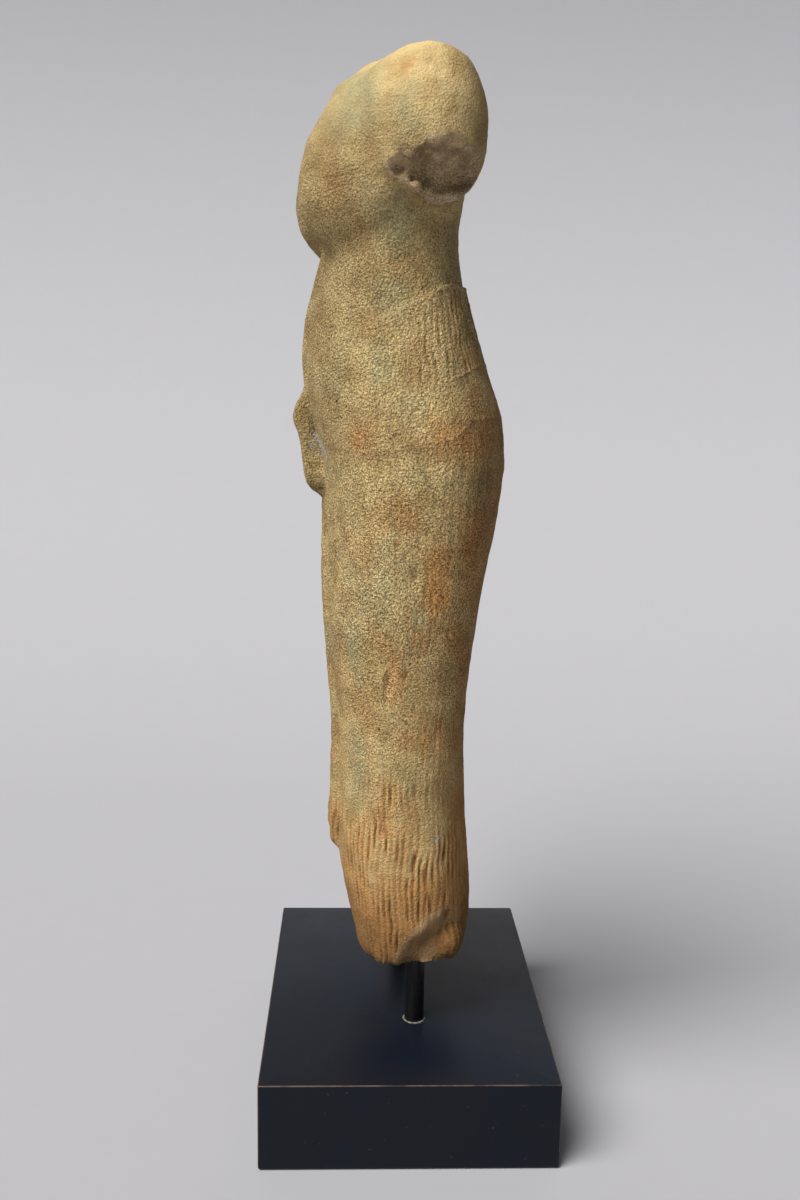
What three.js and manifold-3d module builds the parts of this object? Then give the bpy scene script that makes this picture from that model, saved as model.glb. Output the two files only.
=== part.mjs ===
// Sandstone torso of a standing woman in a pleated wrap skirt. Two steel rods carry it on a black block.
// Millimetres, +Z up. The figure faces -Y, its left side is at +X, and the origin is under the block.
import * as THREE from "three";
import { mergeVertices } from "three/addons/utils/BufferGeometryUtils.js";
import Module from "manifold-3d";

// Driving dimensions
const BLOCK_LENGTH = 160; // along the figure's shoulders
const BLOCK_DEPTH = 115; // front to back
const BLOCK_HEIGHT = 35;
const BLOCK_EASE = 1.2; // the rubbed edges' rounding
const STONE_HEIGHT = 370;
const STONE_LIFT = 22; // clear height between the block and the lowest stone
const FIGURE_TURN = THREE.MathUtils.degToRad(4); // the figure stands slightly turned on its block
const FIGURE_SETBACK = 1.4; // and slightly behind the block's middle
const ROD_DIAMETER = 8;
const ROD_IN_STONE = 60;
const BLOCK_UNDER_ROD = 11; // wood left below each rod's end
const ROD_END_EASE = 0.6;
const HOLE_CLEARANCE = 0.3;
const ROD_SIDES = 24;
const FOLDS = 48; // raised folds around the skirt
const STONE_SEGMENTS = 2 * FOLDS;

const { PI, abs, cos, hypot, max, min, sin } = Math;
const wasm = await Module();
wasm.setup();

// Small helpers
const clamp = (t, low = 0, high = 1) => min(max(t, low), high);
const mix = (a, b, t) => a + (b - a) * t;
const ramp = (low, high, t) => {
  const s = clamp((t - low) / (high - low));
  return s * s * (3 - 2 * s);
};
const hill = (middle, reach, t) => 1 - ramp(0, reach, abs(t - middle));

// Joins two distances with a fillet, and cuts one away from another.
const join = (a, b, fillet) => {
  const h = max(fillet - abs(a - b), 0) / fillet;
  return min(a, b) - (h * h * fillet) / 4;
};
const cut = (a, b, fillet) => -join(-a, b, fillet);

function ellipsoid([x, y, z], [cx, cy, cz], [rx, ry, rz]) {
  const [dx, dy, dz] = [x - cx, y - cy, z - cz];
  const near = hypot(dx / rx, dy / ry, dz / rz);
  const slope = hypot(dx / rx ** 2, dy / ry ** 2, dz / rz ** 2);
  return (near * (near - 1)) / max(slope, 1e-6);
}

function capsule(point, from, to, radius) {
  const [a, b, p] = [from, to, point].map((each) => new THREE.Vector3(...each));
  const nearest = new THREE.Line3(a, b).closestPointToPoint(p, true, new THREE.Vector3());
  return nearest.distanceTo(p) - radius;
}

// Distance past a plane through a point. The normal points out of the stone.
function pastPlane([x, y, z], [px, py, pz], [nx, ny, nz]) {
  return ((x - px) * nx + (y - py) * ny + (z - pz) * nz) / hypot(nx, ny, nz);
}

// Rows of [place, value, value, ...]: a straight line between rows, or a smooth curve.
const rowBelow = (rows, place) => clamp(rows.findLastIndex((row) => row[0] <= place), 0, rows.length - 2);

function straight(rows, place) {
  const i = rowBelow(rows, place);
  return mix(rows[i][1], rows[i + 1][1], clamp((place - rows[i][0]) / (rows[i + 1][0] - rows[i][0])));
}

function curve(rows, place, column) {
  const last = rows.length - 1;
  const rise = (k) => (rows[k + 1][column] - rows[k][column]) / (rows[k + 1][0] - rows[k][0]);
  const slope = (k) => (k === 0 ? rise(0) : k === last ? rise(last - 1) : (rise(k - 1) + rise(k)) / 2);
  const i = rowBelow(rows, place);
  const span = rows[i + 1][0] - rows[i][0];
  const t = clamp((place - rows[i][0]) / span);
  return (
    (2 * t ** 3 - 3 * t ** 2 + 1) * rows[i][column] +
    (t ** 3 - 2 * t ** 2 + t) * span * slope(i) +
    (3 * t ** 2 - 2 * t ** 3) * rows[i + 1][column] +
    (t ** 3 - t ** 2) * span * slope(i + 1)
  );
}

// Broken stone is uneven: a few waves at odd angles.
const unevenness = (x, y, z) =>
  0.5 * sin(0.9 * x + 1.7 * y + 0.6) * sin(1.3 * z - 0.8 * y) +
  0.3 * sin(2.3 * x - 1.1 * z + 1.9) * sin(2.1 * y + 0.7 * x) +
  0.2 * sin(3.7 * y + 2.9 * z) * sin(3.1 * x + 0.4);

// From here to the surface's end, lengths are hundredths of the stone's height, from its lowest point.
// Body without breasts, arms and neck: height, reach to the front, reach to the back, half width.
const BODY = [
  [-4, 4.2, 4.0, 9.6],
  [0, 5.3, 5.4, 10.3],
  [4, 6.3, 6.3, 10.9],
  [8, 7.4, 6.5, 11.0],
  [13, 8.3, 6.1, 11.0],
  [20, 8.4, 5.6, 11.0],
  [27, 8.5, 5.4, 11.2],
  [35, 9.3, 6.0, 12.0],
  [44, 9.8, 7.4, 13.4],
  [51, 9.8, 8.7, 14.4],
  [56, 10.1, 9.1, 14.7],
  [61, 11.4, 8.5, 14.1],
  [66, 12.2, 6.9, 12.8],
  [70, 12.1, 5.7, 11.5],
  [75, 11.0, 4.7, 10.7],
  [79, 10.0, 4.3, 10.9],
  [84, 9.6, 4.3, 11.2],
  [90, 8.6, 4.3, 10.6],
];
const BODY_TOP = 93;
const SQUARENESS = 2.4; // 2 is a plain ellipse
const YOKE = { middle: [0, -1.9, 88.0], radii: [12.4, 5.6, 9.0] };
const COLLAR = { from: [2, -2.8, 92.6], to: [10.5, -1.5, 91.2], radius: 4.4 };
const NECK = { middle: [0, 0.6, 94], radii: [4.4, 4.4, 9] };
const SHOULDER = { middle: [10.8, -0.5, 90.2], radii: [5.2, 5.2, 6.4] };
const UPPER_ARM = { middle: [12.6, 0, 86.6], radii: [4.3, 4.7, 5.2] };
const BREAST = { middle: [5.0, -5.3, 83.4], radii: [5.9, 7.8, 7.2], rise: 10.2 };
const CREASE = 77; // under the breasts
const NAVEL = { middle: [0, -12.3, 68.4], radii: [0.9, 1.1, 1.0] };
const SPINE = { width: 1.6, depth: 0.55, middle: 84.5, reach: 10.5 };
const LEG_GROOVE = { width: 2.4, depth: 0.5, from: 28, to: 42 };
const LEG_MIDDLE = 8.1; // from the centre line, where the rods go in

// Broken ends: a point on each break and the direction it faces.
const LEFT_ARM_BREAK = { at: [14.2, -0.1, 84.6], faces: [0.82, -0.1, -0.56] };
const RIGHT_ARM_BREAK = { at: [13.4, 0.2, 84.0], faces: [0.75, 0.15, -0.66] };
const ARM_HOLLOW = { middle: [13.6, -3.9, 85.2], radius: 1.0 };
const NECK_BREAK = { at: [0, 2.6, 99.0], faces: [0.05, -0.16, 1] };
const FOOT_BREAKS = [
  { at: [4, -2, 0.2], faces: [0.03, -0.1, -1] },
  { at: [8.6, 4.6, 1.8], faces: [0.42, 0.42, -0.8] },
  { at: [-7, 2, 1.6], faces: [-0.28, 0.2, -0.94] },
];
const FOOT_CHIP = { from: [11.6, -2.4, 0.2], to: [10.4, 5.2, 6.2], radius: 1.8 };
const FOOT_FILLET = 1.6;

// The skirt's edges climb from the front to the back: degrees around from the front, height.
const WAIST_EDGE = [
  [0, 62.9],
  [103, 74.1],
  [112, 74.4],
  [180, 74.4],
];
const SASH_EDGE = [
  [0, 56.6],
  [118, 65.9],
  [130, 66.4],
  [180, 66.4],
];
const FLAP_EDGE = [
  [0, 52.6],
  [17, 53.3],
  [54, 56.0],
  [103, 59.0],
  [112, 60.8],
  [122, 61.1],
  [180, 61.1],
];
const CLOTH = 0.26; // thickness at the waist edge
const LIP = 0.14; // how far each sash stands over the cloth below it
const EDGE_RISE = 0.12; // half the height in which a step is made
const FOLD_DEPTH = 0.1;

// The tongue of cloth folded over the waist edge: height, reach to the front, half width.
const TONGUE = [
  [52.4, 10.8, 1.5],
  [53.4, 11.8, 2.2],
  [55.7, 12.4, 2.6],
  [58.6, 12.8, 2.8],
  [60.6, 13.5, 3.0],
  [62.0, 13.2, 3.0],
  [63.6, 12.3, 2.7],
];
const TONGUE_DEPTH = 2.8;
const TONGUE_ROUND = 0.4;

// The pleated panel that hangs in front, broken off above the hem: height, half width, thickness.
const PANEL_END = 13.8;
const PANEL = [
  [PANEL_END, 3.5, 0.55],
  [20, 3.1, 0.5],
  [30, 2.6, 0.4],
  [46, 2.2, 0.3],
  [53, 2.0, 0.25],
];

// Every ray leaves an upright axis inside the body.
const AXIS_Y = -1.2;
const degreesRound = (x, y) => abs(THREE.MathUtils.radToDeg(Math.atan2(x, AXIS_Y - y)));

function bodyDistance(x, y, z) {
  const [front, back, half] = [1, 2, 3].map((column) => curve(BODY, z, column));
  const middle = (back - front) / 2;
  const reach = (back + front) / 2;
  const round = (abs(x / half) ** SQUARENESS + abs((y - middle) / reach) ** SQUARENESS) ** (1 / SQUARENESS);
  return max((round - 1) * min(half, reach), z - BODY_TOP);
}

function breastDistance(x, y, z) {
  const [rx, ry, below] = BREAST.radii;
  const tall = z > BREAST.middle[2] ? BREAST.rise : below;
  return ellipsoid([abs(x), y, z], BREAST.middle, [rx, ry, tall]);
}

function armDistance(x, y, z) {
  const point = [abs(x), y, z];
  const shoulder = ellipsoid(point, SHOULDER.middle, SHOULDER.radii);
  const whole = join(shoulder, ellipsoid(point, UPPER_ARM.middle, UPPER_ARM.radii), 2.5);
  const end = x > 0 ? LEFT_ARM_BREAK : RIGHT_ARM_BREAK;
  const broken = pastPlane(point, end.at, end.faces) + 0.25 * unevenness(x, y, z);
  const hollow = ellipsoid([x, y, z], ARM_HOLLOW.middle, Array(3).fill(ARM_HOLLOW.radius));
  return cut(max(whole, broken), hollow, 0.3);
}

function tongueDistance(x, y, z) {
  const [front, half] = [1, 2].map((column) => curve(TONGUE, z, column));
  const sides = abs(x) - half;
  const depths = max(-front - y, y + front - TONGUE_DEPTH);
  const ends = max(TONGUE[0][0] - z, z - TONGUE.at(-1)[0]);
  const past = [sides, depths, ends].map((each) => max(each + TONGUE_ROUND, 0));
  return max(hypot(...past) - TONGUE_ROUND, sides, depths, ends);
}

// How much cloth lies over the body here. The sashes' edges are worn away in front.
function clothThickness(x, y, z) {
  const round = degreesRound(x, y);
  const below = (edge) => ramp(-EDGE_RISE / 2, EDGE_RISE / 2, straight(edge, round) - z);
  const behind = ramp(60, 110, round);
  const sashes = LIP * ((1 - below(SASH_EDGE)) * behind + (1 - below(FLAP_EDGE)) * mix(0.5, 1, behind));
  const [half, thick] = [1, 2].map((column) => curve(PANEL, z, column));
  const panel = y < 0 ? thick * ramp(-0.5, 0.5, half - abs(x)) * ramp(-0.3, 0.3, z - PANEL_END) : 0;
  const groove = hill(0, LEG_GROOVE.width, x) * (1 - ramp(LEG_GROOVE.from, LEG_GROOVE.to, z));
  return below(WAIST_EDGE) * (CLOTH + sashes) + panel - LEG_GROOVE.depth * groove;
}

// Negative inside the stone, positive outside.
function stoneDistance(x, y, z) {
  const point = [x, y, z];
  const uneven = unevenness(x, y, z);
  let d = bodyDistance(x, y, z) - clothThickness(x, y, z);
  d = join(d, ellipsoid(point, YOKE.middle, YOKE.radii), 3);
  d = join(d, capsule([abs(x), y, z], COLLAR.from, COLLAR.to, COLLAR.radius), 2.5);
  d = join(d, ellipsoid(point, NECK.middle, NECK.radii), 2.5);
  d = join(d, breastDistance(x, y, z), mix(0.8, 3.5, ramp(CREASE, CREASE + 11, z)));
  d = join(d, armDistance(x, y, z), mix(1, 4, ramp(82, 90, z)));
  if (y > 0) d += SPINE.depth * hill(0, SPINE.width, x) * hill(SPINE.middle, SPINE.reach, z);
  d = cut(d, ellipsoid(point, NAVEL.middle, NAVEL.radii), 0.4);
  d = join(d, tongueDistance(x, y, z), 0.35);
  d = max(d, pastPlane(point, NECK_BREAK.at, NECK_BREAK.faces) + 0.2 * uneven);
  for (const { at, faces } of FOOT_BREAKS) {
    d = cut(d, -pastPlane(point, at, faces) - 0.3 * uneven, FOOT_FILLET);
  }
  return cut(d, capsule(point, FOOT_CHIP.from, FOOT_CHIP.to, FOOT_CHIP.radius), 0.6);
}

// The folds are worn away on the thighs' front, and crisp behind and near the hem.
function foldDepth(x, y, z) {
  const round = degreesRound(x, y);
  const below = ramp(0, 0.8, straight(WAIST_EDGE, round) - z);
  const nearHem = 1 - ramp(18, 34, z);
  return FOLD_DEPTH * below * clamp(0.3 + ramp(80, 120, round) + nearHem);
}

// Rings of the surface follow these lines from the foot up. Each has so many rings up to the next line.
const FOOT_LEVEL = 4;
const SHOULDER_LEVEL = 84;
const level = (height) => () => height;
const beside = (edge, offset) => (round) => straight(edge, round) + offset;
const RING_LINES = [
  { line: level(FOOT_LEVEL), rings: 3 },
  { line: level(PANEL_END - 0.3), rings: 1 },
  { line: level(PANEL_END + 0.3), rings: 3 },
  { line: level(28), rings: 3 },
  { line: beside(FLAP_EDGE, -0.9), rings: 1 },
  { line: beside(FLAP_EDGE, -EDGE_RISE), rings: 1 },
  { line: beside(FLAP_EDGE, EDGE_RISE), rings: 2 },
  { line: beside(SASH_EDGE, -EDGE_RISE), rings: 1 },
  { line: beside(SASH_EDGE, EDGE_RISE), rings: 3 },
  { line: beside(WAIST_EDGE, -EDGE_RISE), rings: 1 },
  { line: beside(WAIST_EDGE, EDGE_RISE), rings: 4 },
  { line: level(79), rings: 4 },
  { line: level(SHOULDER_LEVEL), rings: 1 },
];
const FOOT_RINGS = 4;
const SHOULDER_RINGS = 9;
const REACH = 30; // further out than any stone
const STRIDE = 0.5;

// A fan of tilted rays closes the foot and the shoulders. Between them the rays are level.
function ringList() {
  const fan = (height, count, end) =>
    Array.from({ length: count }, (_, i) => ({ line: level(height), tilt: (end * (i + 1)) / (count + 1) }));
  const rings = fan(FOOT_LEVEL, FOOT_RINGS, -PI / 2).reverse();
  RING_LINES.forEach(({ line, rings: count }, i) => {
    const next = RING_LINES[i + 1]?.line ?? line;
    for (let k = 0; k < count; k++) {
      rings.push({ line: (round) => mix(line(round), next(round), k / count), tilt: 0 });
    }
  });
  return rings.concat(fan(SHOULDER_LEVEL, SHOULDER_RINGS, PI / 2));
}

// Walks in along a ray from outside until it meets the stone, and returns that point.
function surfacePoint(turn, { line, tilt }) {
  const height = line(THREE.MathUtils.radToDeg(min(turn, 2 * PI - turn)));
  const [rayX, rayY, rayZ] = [sin(turn) * cos(tilt), -cos(turn) * cos(tilt), sin(tilt)];
  const at = (r) => [rayX * r, AXIS_Y + rayY * r, height + rayZ * r];
  let near = REACH;
  while (near > STRIDE && stoneDistance(...at(near)) > 0) near -= STRIDE;
  let far = near + STRIDE;
  for (let halving = 0; halving < 14; halving++) {
    const middle = (near + far) / 2;
    if (stoneDistance(...at(middle)) > 0) far = middle;
    else near = middle;
  }
  return at(near + foldDepth(...at(near)) * cos(FOLDS * turn) * cos(tilt));
}

function stoneGeometry() {
  const rings = ringList();
  const positions = [];
  const faces = [];
  const addPoint = (point) => positions.push(...point.map((v) => (v * STONE_HEIGHT) / 100)) / 3 - 1;
  const bottom = addPoint(surfacePoint(0, { line: level(FOOT_LEVEL), tilt: -PI / 2 }));
  const top = addPoint(surfacePoint(0, { line: level(SHOULDER_LEVEL), tilt: PI / 2 }));
  for (const ring of rings) {
    for (let s = 0; s < STONE_SEGMENTS; s++) addPoint(surfacePoint((2 * PI * s) / STONE_SEGMENTS, ring));
  }
  const corner = (ring, s) => 2 + ring * STONE_SEGMENTS + (s % STONE_SEGMENTS);
  for (let s = 0; s < STONE_SEGMENTS; s++) {
    faces.push(bottom, corner(0, s + 1), corner(0, s));
    faces.push(top, corner(rings.length - 1, s), corner(rings.length - 1, s + 1));
    for (let r = 0; r + 1 < rings.length; r++) {
      faces.push(corner(r, s), corner(r, s + 1), corner(r + 1, s + 1));
      faces.push(corner(r, s), corner(r + 1, s + 1), corner(r + 1, s));
    }
  }
  return new THREE.BufferGeometry()
    .setAttribute("position", new THREE.Float32BufferAttribute(positions, 3))
    .setIndex(faces);
}

// Millimetres again: solids, rods and the block.
function solid(geometry) {
  const bare = geometry.clone().deleteAttribute("normal").deleteAttribute("uv");
  const merged = mergeVertices(bare, 1e-4);
  return new wasm.Manifold(
    new wasm.Mesh({
      numProp: 3,
      vertProperties: merged.attributes.position.array,
      triVerts: new Uint32Array(merged.index.array),
    }),
  );
}

function geometryOf(manifold) {
  const { vertProperties, triVerts } = manifold.getMesh();
  return new THREE.BufferGeometry()
    .setAttribute("position", new THREE.BufferAttribute(vertProperties, 3))
    .setIndex(new THREE.BufferAttribute(triVerts, 1));
}

// A round bar from one height to another, with eased ends.
function bar(diameter, from, to, x) {
  const radius = diameter / 2;
  const profile = [
    [0, from],
    [radius - ROD_END_EASE, from],
    [radius, from + ROD_END_EASE],
    [radius, to - ROD_END_EASE],
    [radius - ROD_END_EASE, to],
    [0, to],
  ].map(([r, z]) => new THREE.Vector2(r, z));
  return new THREE.LatheGeometry(profile, ROD_SIDES).rotateX(PI / 2).translate(x, 0, 0);
}

// The rods in the figure's own frame: side by side under the legs, from the block into the stone.
const SIDES = [1, -1];
const rodOffset = (LEG_MIDDLE * STONE_HEIGHT) / 100;
const figureHeight = BLOCK_HEIGHT + STONE_LIFT;
const rodBottom = BLOCK_UNDER_ROD - figureHeight;
const holeDiameter = ROD_DIAMETER + 2 * HOLE_CLEARANCE;

function drilled(body, holes) {
  return geometryOf(holes.reduce((rest, hole) => rest.subtract(solid(hole)), solid(body)));
}

function torsoGeometry() {
  const holeTop = ROD_IN_STONE + HOLE_CLEARANCE;
  const holes = SIDES.map((side) => bar(holeDiameter, -STONE_LIFT, holeTop, side * rodOffset));
  return drilled(stoneGeometry(), holes);
}

function blockGeometry() {
  const [x, y] = [BLOCK_LENGTH / 2 - BLOCK_EASE, BLOCK_DEPTH / 2 - BLOCK_EASE];
  const outline = new THREE.Shape();
  const corners = [
    [x, y],
    [-x, y],
    [-x, -y],
    [x, -y],
  ];
  corners.forEach(([cx, cy], quarter) => {
    outline.absarc(cx, cy, BLOCK_EASE / 2, (quarter * PI) / 2, ((quarter + 1) * PI) / 2);
  });
  outline.closePath();
  const slab = new THREE.ExtrudeGeometry(outline, {
    depth: BLOCK_HEIGHT - 2 * BLOCK_EASE,
    bevelThickness: BLOCK_EASE,
    bevelSize: BLOCK_EASE / 2,
    bevelSegments: 2,
    curveSegments: 3,
  }).translate(0, 0, BLOCK_EASE);
  const holes = SIDES.map((side) =>
    bar(holeDiameter, BLOCK_UNDER_ROD - HOLE_CLEARANCE, figureHeight, side * rodOffset)
      .rotateZ(FIGURE_TURN)
      .translate(0, FIGURE_SETBACK, 0),
  );
  return drilled(slab, holes);
}

const sandstone = new THREE.MeshStandardMaterial({ color: "#a88d62", roughness: 0.95, metalness: 0 });
const blackPaint = new THREE.MeshStandardMaterial({ color: "#14161b", roughness: 0.42, metalness: 0 });
const blackSteel = new THREE.MeshStandardMaterial({ color: "#0b0b0d", roughness: 0.35, metalness: 0.6 });

function part(name, geometry, material) {
  const mesh = new THREE.Mesh(geometry, material);
  mesh.name = name;
  return mesh;
}

const figure = new THREE.Group();
figure.position.set(0, FIGURE_SETBACK, figureHeight);
figure.rotation.z = FIGURE_TURN;
figure.add(part("sandstone_torso", torsoGeometry(), sandstone));
SIDES.forEach((side) => {
  const name = side > 0 ? "left_leg_rod" : "right_leg_rod";
  figure.add(part(name, bar(ROD_DIAMETER, rodBottom, ROD_IN_STONE, side * rodOffset), blackSteel));
});

const sculpture = new THREE.Group();
sculpture.add(part("display_block", blockGeometry(), blackPaint), figure);

export default sculpture;
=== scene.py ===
"""A weathered sandstone torso in a pleated wrap skirt, held over a black block by two rods, on a pale sweep."""

import math

import bpy
import numpy as np
from bpy.props import FloatProperty, FloatVectorProperty, IntProperty, PointerProperty
from bpy.types import Operator, Panel, PropertyGroup
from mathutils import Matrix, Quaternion, Vector


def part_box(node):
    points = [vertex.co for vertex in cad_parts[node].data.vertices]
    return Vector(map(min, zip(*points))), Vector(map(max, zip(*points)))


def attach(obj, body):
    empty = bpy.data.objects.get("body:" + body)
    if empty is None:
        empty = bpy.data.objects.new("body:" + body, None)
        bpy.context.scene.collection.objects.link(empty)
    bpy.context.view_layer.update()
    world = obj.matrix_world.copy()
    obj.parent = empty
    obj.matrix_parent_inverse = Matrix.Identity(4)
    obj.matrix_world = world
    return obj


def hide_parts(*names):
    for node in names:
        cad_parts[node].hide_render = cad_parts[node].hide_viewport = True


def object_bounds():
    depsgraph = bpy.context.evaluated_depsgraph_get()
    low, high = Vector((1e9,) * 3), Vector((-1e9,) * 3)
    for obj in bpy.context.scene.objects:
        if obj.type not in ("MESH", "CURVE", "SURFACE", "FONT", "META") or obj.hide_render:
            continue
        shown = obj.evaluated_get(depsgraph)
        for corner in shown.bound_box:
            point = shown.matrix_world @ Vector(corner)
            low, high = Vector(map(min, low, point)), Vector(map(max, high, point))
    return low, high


bl_info = {
    "name": "Sandstone torso",
    "version": (1, 0, 0),
    "blender": (4, 5, 0),
    "location": "3D View > Sidebar > Torso",
    "description": "Makes a weathered sandstone torso on its block and rods, with a pale stage",
    "category": "Add Mesh",
}

ROOT = "root"

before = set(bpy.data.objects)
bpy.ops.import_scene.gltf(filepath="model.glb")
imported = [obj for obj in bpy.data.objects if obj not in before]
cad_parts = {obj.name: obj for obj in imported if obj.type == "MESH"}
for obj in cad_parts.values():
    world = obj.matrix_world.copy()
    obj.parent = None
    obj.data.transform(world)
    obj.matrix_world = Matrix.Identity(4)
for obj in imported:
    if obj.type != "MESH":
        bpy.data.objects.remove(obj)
CAD_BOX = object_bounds()


# Where the fixed frame says that things are


def rod_axis(node):
    """The middle of a rod, seen from above."""
    low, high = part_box(node)
    return (low.xy + high.xy) / 2


LEFT_ROD, RIGHT_ROD = rod_axis("left_leg_rod"), rod_axis("right_leg_rod")
FIGURE_MIDDLE = (LEFT_ROD + RIGHT_ROD) / 2
FIGURE_TURN = math.atan2(*reversed(LEFT_ROD - RIGHT_ROD))
BLOCK_LOW, BLOCK_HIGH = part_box("display_block")
ROD_LOW, ROD_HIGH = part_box("left_leg_rod")


# The stone's form, in hundredths of its height from its lowest point. The figure faces -Y.


# Body without breasts, arms and neck: height, reach to the front, reach to the back, half width.
BODY = (
    (-4, 4.2, 4.0, 9.6),
    (0, 5.6, 5.4, 10.3),
    (4, 6.5, 6.3, 10.9),
    (8, 7.4, 6.5, 11.0),
    (13, 8.3, 6.1, 11.0),
    (20, 8.4, 5.6, 11.0),
    (27, 8.5, 5.4, 11.2),
    (35, 9.3, 6.0, 12.0),
    (44, 9.8, 7.2, 13.4),
    (51, 9.8, 8.4, 14.4),
    (56, 10.1, 8.9, 14.7),
    (61, 11.4, 8.5, 14.1),
    (66, 12.2, 6.9, 12.8),
    (70, 12.1, 5.7, 11.5),
    (75, 11.0, 4.4, 10.5),
    (79, 10.0, 3.9, 10.4),
    (84, 9.6, 4.3, 10.9),
    (90, 8.6, 4.3, 10.6),
)
BODY_TOP = 93
SQUARENESS = 2.4
YOKE = ((0, -3.13, 88.0), (13.65, 4.96, 8.67))
COLLAR = ((2, -3.7, 92.7), (10.5, -1.1, 90.9), 4.1)
NECK = ((0, 0.04, 94), (4.0, 5.62, 9))
SHOULDER = ((10.8, -0.3, 89.8), (5.2, 4.77, 6.44))
UPPER_ARM = ((12.6, 0, 86.6), (4.3, 4.6, 5.2))
NECK_FILLET = 3.29
BREAST = ((5.0, -5.3, 83.4), (5.9, 7.8, 7.2))
BREAST_RISE = 10.2
CREASE = 77
NAVEL = ((0, -12.3, 68.4), (0.9, 1.1, 1.0))
SPINE_WIDTH, SPINE_DEPTH, SPINE_MIDDLE, SPINE_REACH = 1.6, 0.55, 84.5, 10.5
LEG_GROOVE_WIDTH, LEG_GROOVE_DEPTH, LEG_GROOVE_LOW, LEG_GROOVE_HIGH = 2.4, 0.5, 28, 42

# Broken ends: a point on each face and the way it looks. The left arm's break is a bowl with pits and knobs.
LEFT_ARM = ((16.9, -0.1, 86.8), (0.8, 0.14, -0.55))
ARM_BOWL = ((15.7, 0.7, 84.0), (2.9, 4.2, 2.5))
RIGHT_ARM = ((13.4, 0.2, 84.0), (0.75, 0.15, -0.66))
ARM_HOLLOWS = (
    ((13.7, -3.9, 84.7), (1.4, 1.05, 1.05)),
    ((14.2, -2.3, 84.4), (0.8, 0.5, 0.55)),
    ((12.8, -3.7, 82.2), (1.2, 0.8, 0.45)),
)
ARM_LEDGE = ((16.0, -3.2, 84.0), (2.0, 1.3, 2.2))
ARM_KNOBS = (
    ((15.1, -2.7, 85.6), (1.1, 0.8, 0.7)),
    ((13.4, -3.4, 83.4), (0.95, 0.65, 0.6)),
    ((13.7, -2.0, 82.9), (1.0, 0.6, 0.55)),
)
NECK_BREAK = ((0, 2.6, 98.32), (0.04, -0.16, 1))
NECK_STUB = ((0.5, 2.2, 98.7), (2.0, 1.2, 0.45))
FOOT_BREAKS = (
    ((8.5, 0, 1.25), (0.1, 0.06, -1)),
    ((9.1, 4.5, 2.1), (0.42, 0.42, -0.8)),
    ((-7, 2, 1.6), (-0.28, 0.2, -0.94)),
)
FOOT_FILLET = 0.7
FOOT_LOBE = ((8.7, 3.6, 3.9), (2.1, 1.6, 2.3))
CHIP_WALL = ((11.55, 0.1, 6.2), (0.8, 0.42, -0.43))
CHIP_FLOOR = ((10.0, 2.1, 3.8), (0.97, -0.06, 0.2))
CHIP_NOTCH = ((11.1, 3.1, 7.2), (1.1, 0.45, 0.8))
CHIP_FILLET, CHIP_EASE, CHIP_ABOVE, CHIPS_BELOW = 0.5, 0.25, 3, 14
ARMS_BEYOND, ARMS_ABOVE = 10.5, 80

# Fillets between forms, and how uneven each break is.
YOKE_FILLET, COLLAR_FILLET, SHOULDER_FILLET, TONGUE_FILLET = 3, 2.5, 2.5, 0.15
BREAST_FILLETS, ARM_FILLETS = (0.8, 3.5), (1, 4)
BOWL_EASE, KNOB_FILLET, STUB_FILLET, LOBE_FILLET = 0.3, 0.25, 0.2, 0.3
LEFT_ARM_WAVES, RIGHT_ARM_WAVES, NECK_WAVES, FOOT_WAVES, CHIP_WAVES = 0.16, 0.25, 0.1, 0.3, 0.2

# The skirt's edges climb from the front to the back: degrees around from the front, height.
WAIST_EDGE = ((0, 62.9), (103, 74.1), (112, 74.4), (180, 74.4))
SASH_EDGE = ((0, 56.6), (118, 65.9), (130, 66.4), (180, 66.4))
FLAP_EDGE = ((0, 52.6), (17, 53.3), (54, 56.0), (103, 59.0), (112, 60.8), (122, 61.1), (180, 61.1))
EDGE_RISE = 0.07
CLOTH_FRONT, CLOTH_BACK = 0.2, 0.33
FLAP_STEP = 0.05
RIDGE, RIDGE_WIDTH = 0.075, 0.16

# The tongue of cloth folded over the waist edge: height, reach to the front, half width.
TONGUE = (
    (52.4, 10.8, 1.5),
    (53.4, 11.8, 2.2),
    (55.7, 12.4, 2.6),
    (58.6, 12.8, 2.8),
    (60.6, 13.5, 3.0),
    (62.0, 13.2, 3.0),
    (63.6, 12.3, 2.7),
)
TONGUE_DEPTH = 2.8
TONGUE_ROUND = 0.22
TONGUE_RECESS = ((3.1, -10.9, 57.6), (0.8, 0.9, 4.4))

# The pleated panel in front, broken off above the hem: height, half width, thickness.
PANEL_END = 13.3
PANEL = ((PANEL_END, 3.5, 0.85), (20, 3.1, 0.55), (30, 2.6, 0.4), (46, 2.2, 0.3), (53, 2.0, 0.25))

# Rays run out from an upright axis. Rings of the surface follow these lines, each with its rings to the next.
AXIS_Y = -1.2
FOOT_LEVEL, SHOULDER_LEVEL = 4.0, 84.0
FOOT_RINGS, SHOULDER_RINGS, RING_CROWDING = 16, 58, 1.6
RING_LINES = (
    (FOOT_LEVEL, 0, 18),
    (PANEL_END, 0, 28),
    (28.0, 0, 36),
    (FLAP_EDGE, -EDGE_RISE, 2),
    (FLAP_EDGE, EDGE_RISE, 22),
    (SASH_EDGE, -EDGE_RISE, 2),
    (SASH_EDGE, EDGE_RISE, 24),
    (WAIST_EDGE, -EDGE_RISE, 2),
    (WAIST_EDGE, EDGE_RISE, 18),
    (79.0, 0, 24),
    (SHOULDER_LEVEL, 0, 1),
)
SIDE_SPREAD = 1.26
CROWDED_AT, CROWDED_REACH, CROWDING, SIDE_CROWDING = 16.0, 5.0, 2.2, 0.7
REACH = 20.0
STRIDE = 0.5
HALVINGS = 12

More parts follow.
